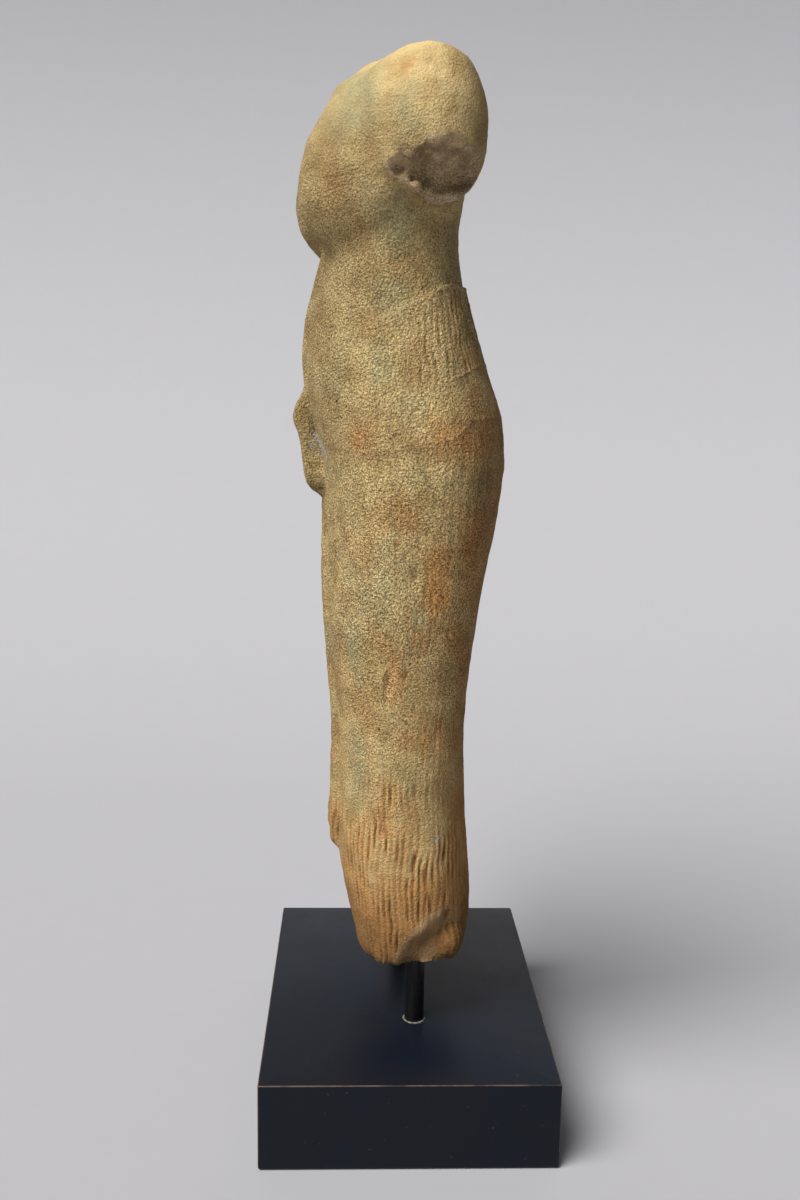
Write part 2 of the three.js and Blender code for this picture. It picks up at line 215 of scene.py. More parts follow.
# Weather marks, and among the pale spots painted highlights: a place, its reach along X, Y and Z, and its strength.
STAINS = (
    ((15.4, -3.2, 93.7), (1.6, 1.8, 1.4), 0.5),
    ((12.2, -6.2, 85.9), (1.4, 1.4, 1.4), 0.6),
    ((9.0, -10.0, 82.0), (3.0, 2.5, 3.0), 0.5),
    ((14.4, 2.4, 58.9), (3.0, 2.6, 3.0), 0.75),
    ((12.9, -7.1, 58.8), (2.2, 2.0, 1.8), 0.6),
    ((14.7, -2.2, 51.0), (2.4, 1.8, 3.0), 0.55),
    ((13.6, 1.2, 44.3), (2.6, 2.4, 6.5), 0.75),
    ((12.1, -3.4, 33.9), (2.0, 1.8, 5.0), 0.65),
    ((11.0, -3.9, 19.2), (2.0, 1.6, 5.5), 0.65),
    ((10.8, 2.4, 8.5), (2.2, 1.8, 3.0), 0.8),
    ((9.4, 4.8, 3.6), (2.6, 2.0, 2.8), 1.0),
    ((8.6, -3.6, 3.5), (3.5, 3.4, 3.8), 0.95),
)
GREENS = (
    ((10.0, -7.3, 92.0), (6.0, 4.0, 6.0), 0.9),
    ((10.8, -4.2, 79.6), (4.0, 3.2, 4.2), 0.75),
    ((10.8, -4.6, 73.2), (4.0, 3.4, 3.2), 0.8),
    ((13.2, -5.2, 65.6), (2.4, 2.2, 3.4), 0.7),
    ((14.3, -2.3, 62.3), (2.4, 2.0, 2.4), 0.55),
    ((13.3, -0.4, 40.9), (2.2, 1.9, 2.4), 1.0),
    ((10.0, -7.4, 35.5), (3.0, 2.0, 6.0), 0.8),
    ((8.8, -6.8, 23.4), (3.0, 2.2, 5.0), 0.8),
    ((11.0, -0.2, 19.0), (1.6, 2.0, 3.4), 0.6),
)
# Pale spots: a whitish deposit in the tongue's recess and beside it, a pale spot on the lower leg, and painted
# highlights on the lit rims and knobs of the left arm's break.
PALES = (
    ((3.2, -11.0, 58.0), (1.4, 1.4, 2.8), 1.0),
    ((4.8, -10.3, 56.9), (1.8, 1.4, 2.6), 0.8),
    ((10.8, 1.9, 16.4), (1.5, 1.3, 1.0), 0.8),
    ((16.0, -0.3, 88.0), (1.8, 2.6, 0.7), 0.5),
    ((14.7, -2.7, 85.8), (1.0, 0.7, 0.6), 0.75),
    ((13.6, -3.4, 83.4), (1.0, 0.6, 0.6), 0.7),
    ((13.7, -2.0, 82.9), (1.0, 0.5, 0.5), 0.75),
    ((13.5, 1.6, 82.0), (1.3, 3.0, 0.6), 0.7),
    ((14.6, 4.0, 84.4), (1.2, 0.8, 1.6), 0.6),
)
# How coarse the grain is: height, strength.
COARSENESS = (
    (0, 0.45),
    (14, 0.6),
    (26, 1.6),
    (38, 2.4),
    (50, 2.3),
    (62, 1.8),
    (74, 1.9),
    (81, 1.5),
    (90, 0.6),
    (96, 0.4),
)
# How light the stone is at each height, darker at the foot and below the breasts: height, share.
LIGHTNESS = (
    (0, 0.44),
    (5, 0.52),
    (12, 0.88),
    (22, 0.98),
    (32, 1.12),
    (44, 1.3),
    (52, 1.14),
    (60, 1.02),
    (67, 1.06),
    (74, 0.92),
    (80, 0.84),
    (90, 0.93),
    (96, 1.02),
)
# Shallow dents and gouges: two ends, radius, depth.
GOUGES = (
    ((14.2, -3.4, 48.8), (14.2, -3.4, 48.3), 0.42, 0.30),
    ((14.0, -1.5, 45.4), (14.0, -1.5, 44.9), 0.40, 0.26),
    ((12.0, -3.9, 34.3), (12.0, -3.9, 33.6), 0.34, 0.34),
    ((12.3, -2.1, 34.6), (12.3, -2.1, 34.2), 0.30, 0.30),
    ((11.9, -4.0, 37.0), (11.7, -4.1, 31.2), 0.20, 0.22),
    ((11.1, -3.9, 22.0), (11.0, -4.0, 16.9), 0.20, 0.34),
    ((11.2, -3.3, 22.0), (11.2, -3.3, 20.2), 0.20, 0.30),
    ((11.4, -0.7, 14.4), (11.4, -0.9, 12.8), 0.22, 0.24),
    ((11.3, 0.3, 12.8), (11.3, 0.6, 11.0), 0.16, 0.24),
    ((11.3, 1.0, 9.8), (11.3, 1.3, 8.2), 0.16, 0.24),
    ((10.4, 2.7, 14.5), (10.5, 2.7, 13.9), 0.22, 0.24),
    ((13.6, 0.1, 65.3), (13.6, 0.1, 64.9), 0.20, 0.16),
    ((14.0, -5.2, 61.3), (14.0, -5.2, 60.9), 0.20, 0.16),
    ((14.8, -3.4, 56.7), (14.8, -3.4, 56.0), 0.24, 0.20),
)
# Small holes, painted dark for the shade inside them: place and radius.
HOLES = (
    ((12.4, 0.5, 67.9), 0.20),
    ((10.8, -9.4, 62.5), 0.16),
    ((10.9, -9.3, 61.6), 0.20),
    ((11.8, -8.5, 62.0), 0.17),
    ((11.1, -4.7, 28.5), 0.17),
)
NOISE_CELLS = 32


# Small numeric helpers for whole arrays of points


def ramp(low, high, value):
    """Climbs smoothly from 0 at low to 1 at high."""
    share = np.clip((value - low) / (high - low), 0, 1)
    return share * share * (3 - 2 * share)


def mix(first, second, share):
    """Blends two values."""
    return first + (second - first) * share


def hill(middle, reach, value):
    """1 at the middle, falling to 0 at its reach."""
    return 1 - ramp(0, reach, np.abs(value - middle))


def join(first, second, fillet):
    """Joins two distances with a fillet between them."""
    near = np.maximum(fillet - np.abs(first - second), 0) / fillet
    return np.minimum(first, second) - near * near * fillet / 4


def cut(body, tool, fillet):
    """Cuts one distance away from another."""
    return -join(-body, tool, fillet)


def ellipsoid(point, middle, radii):
    """Rough distance to an ellipsoid."""
    offsets = [value - centre for value, centre in zip(point, middle)]
    near = np.sqrt(sum((offset / radius) ** 2 for offset, radius in zip(offsets, radii)))
    slope = np.sqrt(sum((offset / radius**2) ** 2 for offset, radius in zip(offsets, radii)))
    return near * (near - 1) / np.maximum(slope, 1e-6)


def from_line(point, start, end):
    """Distance to the line between two points."""
    run = [b - a for a, b in zip(start, end)]
    length = sum(step * step for step in run)
    along = sum((value - a) * step for value, a, step in zip(point, start, run)) / length
    along = np.clip(along, 0, 1)
    return np.sqrt(sum((value - a - step * along) ** 2 for value, a, step in zip(point, start, run)))


def past_plane(point, face):
    """Distance past a plane, given by a point on it and the way it looks."""
    place, looks = face
    return sum((value - at) * way for value, at, way in zip(point, place, looks)) / np.linalg.norm(looks)


def curve(rows, height, column):
    """A smooth curve through one column of rows, read at each height."""
    rows = np.asarray(rows, float)
    places, values = rows[:, 0], rows[:, column]
    rises = np.diff(values) / np.diff(places)
    slopes = np.concatenate([rises[:1], (rises[:-1] + rises[1:]) / 2, rises[-1:]])
    height = np.clip(height, places[0], places[-1])
    row = np.clip(np.searchsorted(places, height, side="right") - 1, 0, len(places) - 2)
    span = places[row + 1] - places[row]
    t = (height - places[row]) / span
    start, start_slope = 2 * t**3 - 3 * t**2 + 1, t**3 - 2 * t**2 + t
    end, end_slope = 3 * t**2 - 2 * t**3, t**3 - t**2
    level = start * values[row] + end * values[row + 1]
    return level + span * (start_slope * slopes[row] + end_slope * slopes[row + 1])


def straight(rows, place):
    """Straight lines between rows."""
    rows = np.asarray(rows, float)
    return np.interp(place, rows[:, 0], rows[:, 1])


def noise(point, size, seed):
    """Smooth random values from -1 to 1, whose bumps are about one size wide."""
    cells = np.random.default_rng(seed).uniform(-1, 1, (NOISE_CELLS,) * 3)
    place = np.stack(point) / size
    low = np.floor(place).astype(int)
    share = place - low
    share = share * share * (3 - 2 * share)
    total = np.zeros(place.shape[1:])
    for corner in np.ndindex(2, 2, 2):
        weight = np.ones_like(total)
        for axis, high in enumerate(corner):
            weight = weight * (share[axis] if high else 1 - share[axis])
        index = tuple((low[axis] + high) % NOISE_CELLS for axis, high in enumerate(corner))
        total += weight * cells[index]
    return total


def unevenness(x, y, z):
    """A few waves at odd angles, for broken stone."""
    return (
        0.5 * np.sin(0.9 * x + 1.7 * y + 0.6) * np.sin(1.3 * z - 0.8 * y)
        + 0.3 * np.sin(2.3 * x - 1.1 * z + 1.9) * np.sin(2.1 * y + 0.7 * x)
        + 0.2 * np.sin(3.7 * y + 2.9 * z) * np.sin(3.1 * x + 0.4)
    )


# The stone's surface as a distance


def degrees_round(x, y):
    """How far round from the front a place is, in degrees, on either side."""
    return np.abs(np.degrees(np.arctan2(x, AXIS_Y - y)))


def body_distance(x, y, z):
    """The body as a stack of squarish ovals."""
    front, back, half = (curve(BODY, z, column) for column in (1, 2, 3))
    middle, reach = (back - front) / 2, (back + front) / 2
    across, along = np.abs(x / half), np.abs((y - middle) / reach)
    rounding = (across**SQUARENESS + along**SQUARENESS) ** (1 / SQUARENESS)
    return np.maximum((rounding - 1) * np.minimum(half, reach), z - BODY_TOP)


def arm_break(x, y, z):
    """Distance past the broken faces of the arms, each broken in its own way."""
    mirrored = (np.abs(x), y, z)
    waves = unevenness(x, y, z) + 0.6 * unevenness(2.3 * z, 2.6 * x, 2.2 * y)
    left = cut(past_plane(mirrored, LEFT_ARM), ellipsoid(mirrored, *ARM_BOWL), BOWL_EASE)
    left = cut(left, ellipsoid(mirrored, *ARM_LEDGE), BOWL_EASE) + LEFT_ARM_WAVES * waves
    for middle, radii in ARM_KNOBS:
        left = join(left, ellipsoid((x, y, z), middle, radii), KNOB_FILLET)
    for middle, radii in ARM_HOLLOWS:
        left = cut(left, ellipsoid((x, y, z), middle, radii), BOWL_EASE)
    right = past_plane(mirrored, RIGHT_ARM) + RIGHT_ARM_WAVES * waves
    return np.where(x > 0, left, right)


def arm_distance(x, y, z):
    """Both arm stumps."""
    mirrored = (np.abs(x), y, z)
    whole = join(ellipsoid(mirrored, *SHOULDER), ellipsoid(mirrored, *UPPER_ARM), SHOULDER_FILLET)
    return np.maximum(whole, arm_break(x, y, z))


def tongue_distance(x, y, z):
    """The end of the cloth, folded over the waist edge in front."""
    front, half = curve(TONGUE, z, 1), curve(TONGUE, z, 2)
    sides = np.abs(x) - half
    depths = np.maximum(-front - y, y + front - TONGUE_DEPTH)
    ends = np.maximum(TONGUE[0][0] - z, z - TONGUE[-1][0])
    past = [np.maximum(each + TONGUE_ROUND, 0) for each in (sides, depths, ends)]
    rounded = np.sqrt(sum(each**2 for each in past)) - TONGUE_ROUND
    plain = np.maximum(np.maximum(rounded, sides), np.maximum(depths, ends))
    return cut(plain, ellipsoid((np.abs(x), y, z), *TONGUE_RECESS), 0.3)


def cloth_thickness(x, y, z, cloth):
    """How much cloth lies over the body. The lines of its edges are worn away in front."""
    around = degrees_round(x, y)
    behind = ramp(84, 112, around)
    waist, sash, flap = (straight(edge, around) - z for edge in (WAIST_EDGE, SASH_EDGE, FLAP_EDGE))
    soft = mix(0.22, EDGE_RISE, ramp(95, 106, around))
    below_waist = ramp(-1, 1, waist / soft)
    thickness = cloth * mix(CLOTH_FRONT, CLOTH_BACK, ramp(85, 115, around))
    flap_step = FLAP_STEP * (1 - ramp(-0.25, 0.25, flap)) * (1 - behind)
    ridges = behind * (hill(0, RIDGE_WIDTH, sash) + 0.6 * hill(0, RIDGE_WIDTH, flap))
    ridges = RIDGE * (ridges + 0.5 * hill(RIDGE_WIDTH / 2, RIDGE_WIDTH, waist))
    half, thick = curve(PANEL, z, 1), curve(PANEL, z, 2)
    panel = thick * (y < 0) * ramp(-0.5, 0.5, half - np.abs(x)) * ramp(-1.3, 0.3, z - PANEL_END)
    groove = LEG_GROOVE_DEPTH * hill(0, LEG_GROOVE_WIDTH, x) * (1 - ramp(LEG_GROOVE_LOW, LEG_GROOVE_HIGH, z))
    return below_waist * (thickness + flap_step) + ridges + panel - groove


def chip_depth(point, waves=0.0):
    """Distance past the facet chipped off the foot, which ends a little above its wall's point."""
    chip = join(past_plane(point, CHIP_WALL), past_plane(point, CHIP_FLOOR), CHIP_FILLET) + waves
    return np.where(point[2] < CHIP_WALL[0][2] + CHIP_ABOVE, chip, -1)


def stone_distance(x, y, z, cloth):
    """Negative inside the stone, positive outside."""
    point, mirrored = (x, y, z), (np.abs(x), y, z)
    waves = unevenness(x, y, z)
    distance = body_distance(x, y, z) - cloth_thickness(x, y, z, cloth)
    distance = join(distance, ellipsoid(point, *YOKE), YOKE_FILLET)
    distance = join(distance, from_line(mirrored, *COLLAR[:2]) - COLLAR[2], COLLAR_FILLET)
    distance = join(distance, ellipsoid(point, *NECK), NECK_FILLET)
    middle, (across, along, down) = BREAST
    tall = np.where(z > middle[2], BREAST_RISE, down)
    breast = ellipsoid(mirrored, middle, (across, along, tall))
    distance = join(distance, breast, mix(*BREAST_FILLETS, ramp(CREASE, CREASE + 11, z)))
    distance = join(distance, arm_distance(x, y, z), mix(*ARM_FILLETS, ramp(82, 90, z)))
    distance = distance + SPINE_DEPTH * hill(0, SPINE_WIDTH, x) * hill(SPINE_MIDDLE, SPINE_REACH, z) * (y > 0)
    distance = cut(distance, ellipsoid(point, *NAVEL), 0.4)
    distance = join(distance, tongue_distance(x, y, z), TONGUE_FILLET)
    distance = cut(distance, -past_plane(point, NECK_BREAK) - NECK_WAVES * waves, 1.0)
    distance = join(distance, ellipsoid(point, *NECK_STUB), STUB_FILLET)
    for face in FOOT_BREAKS:
        distance = cut(distance, -past_plane(point, face) - FOOT_WAVES * waves, FOOT_FILLET)
    distance = cut(distance, -chip_depth(point, CHIP_WAVES * waves), CHIP_EASE)
    distance = join(distance, ellipsoid(point, *FOOT_LOBE), LOBE_FILLET)
    return cut(distance, ellipsoid(point, *CHIP_NOTCH), CHIP_EASE)


def ray_rings(segments):
    """Start heights, turns and tilts of all rays, ring by ring from the foot up, crowded at the tongue and sides."""
    fine = np.linspace(-180, 180, 7201)
    crowd = 1 + CROWDING * hill(CROWDED_AT, CROWDED_REACH, np.abs(fine)) + SIDE_CROWDING * hill(90, 70, np.abs(fine))
    share = np.concatenate([[0], np.cumsum((crowd[1:] + crowd[:-1]) / 2)])
    around = np.interp(np.arange(segments) / segments, share / share[-1], fine)
    turn, around = np.radians(around), np.abs(around)

    def line(row):
        edge, offset, _ = row
        height = edge if np.isscalar(edge) else straight(edge, around)
        return np.full(segments, offset) + height

    def fan(height, count, end, power=1.0):
        tilts = end * (np.arange(1, count + 1) / (count + 0.6)) ** power
        return [(np.full(segments, height), tilt) for tilt in tilts]

    rings = fan(FOOT_LEVEL, FOOT_RINGS, -np.pi / 2)[::-1]
    for row, following in zip(RING_LINES, RING_LINES[1:] + RING_LINES[-1:]):
        count = row[2]
        rings += [(mix(line(row), line(following), k / count), 0.0) for k in range(count)]
    rings += fan(SHOULDER_LEVEL, SHOULDER_RINGS, np.pi / 2, RING_CROWDING)
    heights = np.array([height for height, _ in rings])
    tilts = np.repeat(np.array([[tilt] for _, tilt in rings]), segments, axis=1)
    return heights, np.tile(turn, (len(rings), 1)), tilts


def surface_points(heights, turns, tilts, cloth):
    """Walks in along each ray until it meets the stone."""
    ways = (np.sin(turns) * np.cos(tilts), -np.cos(turns) * np.cos(tilts), np.sin(tilts))

    def outside(reach, rows=slice(None)):
        x, y, z = (way[rows] * reach for way in ways)
        return stone_distance(x, y + AXIS_Y, z + heights[rows], cloth) > 0

    near = np.full(turns.shape, REACH)
    going = np.ones(turns.shape, bool)
    while going.any():
        still = outside(near[going], going) & (near[going] > STRIDE)
        moving = np.zeros_like(going)
        moving[going] = still
        near[moving] -= STRIDE
        going = moving
    far = near + STRIDE
    for _ in range(HALVINGS):
        middle = (near + far) / 2
        out = outside(middle)
        far = np.where(out, middle, far)
        near = np.where(out, near, middle)
    return np.stack([ways[0] * near, ways[1] * near + AXIS_Y, ways[2] * near + heights])


def spots(point, marks):
    """The strongest of some soft spots at each point."""
    total = np.zeros_like(point[0])
    for middle, reach, strength in marks:
        far = sum(((value - centre) / r) ** 2 for value, centre, r in zip(point, middle, reach))
        total = np.maximum(total, strength * np.exp(-far))
    return total


def pleat_strength(x, y, z):
    """How clear the pleats are: crisp behind and near the hem, worn away on the thighs."""
    around = degrees_round(x, y)
    behind = ramp(78, 98, around)
    over_sash = ramp(-0.2, 0.2, z - straight(SASH_EDGE, around))
    over_flap = ramp(-0.2, 0.2, z - straight(FLAP_EDGE, around))
    skirt = np.maximum(mix(0.08, 0.5, behind), 1.6 * (1 - ramp(13, 29, z)))
    strength = mix(skirt, mix(0.06, 0.3, behind), over_flap)
    strength = mix(strength, mix(0.08, 1.3, behind), over_sash)
    below = ramp(0.15, 0.9, straight(WAIST_EDGE, around) - z)
    worn = noise((x, y, z), 3.2, 11) + 0.6 * noise((x, y, z), 1.3, 12)
    tongue = 1 - ramp(0.6, 0.1, tongue_distance(x, y, z))
    return strength * below * np.clip(0.85 + 0.6 * worn, 0.1, 1.4) * mix(0.25, 1, np.clip(tongue, 0, 1))


def broken_share(x, y, z):
    """1 on the broken faces of the arms, neck and foot."""
    arm = ramp(-0.3, -0.06, arm_break(x, y, z)) * (np.abs(x) > ARMS_BEYOND) * (z > ARMS_ABOVE)
    neck = ramp(-0.4, -0.15, past_plane((x, y, z), NECK_BREAK))
    return np.maximum(arm, neck)


def stain_base(y, z):
    """How much iron colour the stone has away from its stains: more towards the foot, and more on the back below the
    chest.
    """
    low = 0.7 * (1 - ramp(1, 20, z)) + 0.25 * (1 - ramp(40, 70, z))
    return low + 0.42 * ramp(1, 5, y) * (1 - ramp(66, 76, z))


def chipped_share(x, y, z):
    """1 on the chipped and rubbed faces of the foot."""
    point = (x, y, z)
    faces = [past_plane(point, face) for face in FOOT_BREAKS]
    faces.append(chip_depth(point))
    beside_lobe = ramp(0.1, 0.6, ellipsoid(point, *FOOT_LOBE))
    return ramp(-0.7, -0.2, np.max(faces, axis=0)) * (z < CHIPS_BELOW) * beside_lobe


def stone_place(settings, point):
    """A place on the stone, given in hundredths, as a point of the frame."""
    x, y, z = point
    scale = settings.height / 100
    cos, sin = math.cos(FIGURE_TURN), math.sin(FIGURE_TURN)
    across, along = scale * (cos * x - sin * y), scale * (sin * x + cos * y)
    return (FIGURE_MIDDLE.x + across, FIGURE_MIDDLE.y + along, BLOCK_HIGH.z + settings.lift + scale * z)


def mesh_piece(name, points, faces):
    """A new mesh object at the origin."""
    mesh = bpy.data.meshes.new(name)
    mesh.from_pydata(points, [], faces)
    mesh.validate()
    piece = bpy.data.objects.new(name, mesh)
    bpy.context.scene.collection.objects.link(piece)
    return piece


def write_attribute(mesh, name, values):
    """Stores one number for each point."""
    mesh.attributes.new(name, "FLOAT", "POINT").data.foreach_set("value", np.asarray(values, np.float32))


def stone_base(settings):
    """The stone without pleats and grain, with its marks as attributes on the points."""
    segments = settings.segments
    cloth = settings.cloth_share
    heights, turns, tilts = ray_rings(segments)
    grid = surface_points(heights, turns, tilts, cloth)
    ends = np.array([[0, 0], [0, 0], [FOOT_LEVEL, SHOULDER_LEVEL]], float)
    end_points = surface_points(ends[2], ends[0], np.array([-np.pi / 2, np.pi / 2]), cloth)
    point = np.concatenate([end_points, grid.reshape(3, -1)], axis=1)
    x, y, z = point
    inward = np.stack([x, y - AXIS_Y, np.zeros_like(z)])
    inward /= np.maximum(np.linalg.norm(inward, axis=0), 1e-6)
    dents = np.zeros_like(x)
    for start, end, radius, depth in GOUGES:
        far = from_line(point, start, end)
        dents = np.maximum(dents, depth * np.exp(-((far / radius) ** 2)))
    x, y, z = point - inward * dents
    world = np.stack(stone_place(settings, (x, y, z)))
    rings = len(heights)
    corner = 2 + np.arange(rings * segments).reshape(rings, segments)
    beside = np.roll(corner, -1, axis=1)
    quads = np.stack([corner[:-1], beside[:-1], beside[1:], corner[1:]], axis=-1).reshape(-1, 4)
    foot = [(0, int(b), int(a)) for a, b in zip(corner[0], beside[0])]
    top = [(1, int(a), int(b)) for a, b in zip(corner[-1], beside[-1])]
    piece = mesh_piece("sandstone_figure", world.T.tolist(), quads.tolist() + foot + top)
    folds = np.arctan2(np.sin(turns) / SIDE_SPREAD, np.cos(turns)).ravel() / (2 * np.pi) + 0.5
    broken = broken_share(*point)
    chipped = chipped_share(*point)
    eroded = np.clip(0.5 + 0.9 * noise(point, 4.5, 5), 0, 1) * hill(38, 22, z) * (degrees_round(x, y) < 110)
    marks = {
        "fold": np.concatenate([[0, 0], folds]),
        "crisp": pleat_strength(*point) * (1 - chipped) * (1 - broken),
        "rough": np.clip(0.28 + 0.5 * broken + 0.5 * chipped + 0.4 * eroded, 0, 1.2),
        "broken": broken,
        "chipped": chipped,
        # Dents, gouges and the neck's break: more iron colour in them, and painted shade.
        "dent": np.maximum(np.clip(dents / 0.3, 0, 1), 0.7 * ramp(-0.4, -0.15, past_plane(point, NECK_BREAK))),
        "stain": np.maximum(spots(point, STAINS), stain_base(y, z)),
        "green": spots(point, GREENS),
        # Painted shade: darker on the back (+Y), and somewhat darker far to the front (-Y), beside the lightness by
        # height.
        "lightness_and_shade": straight(LIGHTNESS, z) * (1 - 0.38 * ramp(0, 6, y) - 0.2 * ramp(5, 10, -y)),
        "coarse": straight(COARSENESS, z),
        "pale": spots(point, PALES),
    }
    for name, values in marks.items():
        write_attribute(piece.data, name, values)
    return piece


# Node helpers


def add_node(tree, kind, inputs=None, **settings):
    """Adds a node, makes its settings, and fills its inputs with values or links."""
    node = tree.nodes.new(kind)
    for name, value in settings.items():
        setattr(node, name, value)
    for socket, value in (inputs or {}).items():
        if isinstance(value, bpy.types.NodeSocket):
            tree.links.new(value, node.inputs[socket])
        else:
            node.inputs[socket].default_value = value
    return node


def calculate(tree, operation, *values):
    """One step of arithmetic on numbers or sockets."""
    return add_node(tree, "ShaderNodeMath", dict(enumerate(values)), operation=operation).outputs[0]


def times(tree, first, second):
    """One number or socket times another."""
    return calculate(tree, "MULTIPLY", first, second)


def remap(tree, value, low, high, to_low=0.0, to_high=1.0):
    """Maps a range to another smoothly."""
    inputs = {0: value, 1: low, 2: high, 3: to_low, 4: to_high}
    return add_node(tree, "ShaderNodeMapRange", inputs, interpolation_type="SMOOTHSTEP").outputs[0]


def noise_node(tree, place, scale, detail=2.0, roughness=0.5):
    """A noise pattern from 0 to 1."""
    inputs = {"Vector": place, "Scale": scale, "Detail": detail, "Roughness": roughness}
    return add_node(tree, "ShaderNodeTexNoise", inputs).outputs[0]


def blend_colours(tree, share, first, second, kind="MIX"):
    """Mixes two colours."""
    node = add_node(tree, "ShaderNodeMix", data_type="RGBA", blend_type=kind)
    for index, value in ((0, share), (6, first), (7, second)):
        if isinstance(value, bpy.types.NodeSocket):
            tree.links.new(value, node.inputs[index])
        else:
            node.inputs[index].default_value = value
    return node.outputs[2]


def roughen(tree, shader, height, strength, depth):
    """Bumps a shader's surface by a pattern, with a depth in metres."""
    inputs = {"Strength": strength, "Distance": depth, "Height": height}
    tree.links.new(add_node(tree, "ShaderNodeBump", inputs).outputs[0], shader.inputs["Normal"])


def seeded_noise(tree, place, seed, scale, detail, roughness=0.5):
    """A noise pattern from -0.5 to 0.5 that changes with a seed."""
    inputs = {"Vector": place, "W": seed, "Scale": scale, "Detail": detail, "Roughness": roughness}
    value = add_node(tree, "ShaderNodeTexNoise", inputs, noise_dimensions="4D").outputs[0]
    return calculate(tree, "SUBTRACT", value, 0.5)


def colour(values):
    """A colour with its alpha."""
    return (*values, 1.0)


def geometry_tree(name, sockets):
    """A node tree for geometry, with named inputs. Returns the tree, its input and output nodes and identifiers."""
    tree = bpy.data.node_groups.new(name, "GeometryNodeTree")
    tree.interface.new_socket("Geometry", in_out="INPUT", socket_type="NodeSocketGeometry")
    tree.interface.new_socket("Geometry", in_out="OUTPUT", socket_type="NodeSocketGeometry")
    names = {}
    for label, kind in sockets:
        names[label] = tree.interface.new_socket(label, in_out="INPUT", socket_type=kind).identifier
    return tree, add_node(tree, "NodeGroupInput").outputs, add_node(tree, "NodeGroupOutput"), names


def close_tree(tree, geometry, material, output):
    """Ends a tree with real geometry and its material."""
    real = add_node(tree, "GeometryNodeRealizeInstances", {0: geometry}).outputs[0]
    dressed = add_node(tree, "GeometryNodeSetMaterial", {"Geometry": real, "Material": material}).outputs[0]
    tree.links.new(dressed, output.inputs[0])


def add_tree(piece, tree, names, values):
    """Puts a tree on a piece and sets its inputs by their identifiers."""
    modifier = piece.modifiers.new(tree.name, "NODES")
    modifier.node_group = tree
    for label, value in values.items():
        modifier[names[label]] = value


def settle(piece, sharp_degrees):
    """Turns a piece's modifiers into a plain mesh, smooth up to an angle."""
    graph = bpy.context.evaluated_depsgraph_get()
    mesh = bpy.data.meshes.new_from_object(
        piece.evaluated_get(graph), preserve_all_data_layers=True, depsgraph=graph
    )
    piece.modifiers.clear()
    old, piece.data = piece.data, mesh
    bpy.data.meshes.remove(old)
    mesh.shade_smooth()
    mesh.set_sharp_from_angle(angle=math.radians(sharp_degrees))
    mesh.name = piece.name
    return piece


def carving_tree():
    """Cuts pleats into the skirt and weathers the whole surface."""
    sockets = (
        ("Pleats", "NodeSocketInt"),
        ("Pleat depth", "NodeSocketFloat"),
        ("Wave depth", "NodeSocketFloat"),
        ("Crumb depth", "NodeSocketFloat"),
        ("Seed", "NodeSocketFloat"),
        ("Material", "NodeSocketMaterial"),
    )
    tree, given, output, names = geometry_tree("Pleats and weather", sockets)

    def stored(name):
        return add_node(tree, "GeometryNodeInputNamedAttribute", {"Name": name}).outputs[0]

    def pattern(*sizes):
        return seeded_noise(tree, place, given["Seed"], *sizes)

    place = add_node(tree, "GeometryNodeInputPosition").outputs[0]
    sway = times(tree, pattern(60.0, 2.0), 2.4)
    phase = calculate(tree, "MULTIPLY_ADD", stored("fold"), given["Pleats"], sway)
    ridge = calculate(tree, "ABSOLUTE", calculate(tree, "COSINE", times(tree, phase, math.pi)))
    ridge = calculate(tree, "POWER", ridge, 0.7)
    long_way = add_node(tree, "ShaderNodeVectorMath", {0: place, 1: (1.0, 1.0, 0.2)}, operation="MULTIPLY").outputs[0]
    streaks = add_node(tree, "ShaderNodeTexNoise", {"Vector": long_way, "Scale": 300.0, "Detail": 3.0}).outputs[0]
    clear = times(tree, remap(tree, streaks, 0.36, 0.62, 0.3, 1.35), stored("crisp"))
    groove = times(tree, calculate(tree, "SUBTRACT", 1.0, ridge), clear)
    pleat = times(tree, groove, times(tree, given["Pleat depth"], -1.0))
    wave = times(tree, pattern(95.0, 2.0), given["Wave depth"])
    crumb = times(tree, pattern(300.0, 3.0, 0.6), given["Crumb depth"])
    crumb = times(tree, crumb, stored("rough"))
    lift = calculate(tree, "ADD", pleat, calculate(tree, "ADD", wave, crumb))
    way = add_node(tree, "GeometryNodeInputNormal").outputs[0]
    offset = add_node(tree, "ShaderNodeVectorMath", {0: way, "Scale": lift}, operation="SCALE").outputs[0]
    marked = add_node(
        tree,
        "GeometryNodeStoreNamedAttribute",
        {"Geometry": given["Geometry"], "Name": "groove", "Value": groove},
        data_type="FLOAT",
        domain="POINT",
    ).outputs[0]
    moved = add_node(tree, "GeometryNodeSetPosition", {"Geometry": marked, "Offset": offset}).outputs[0]
    close_tree(tree, moved, given["Material"], output)
    return tree, names


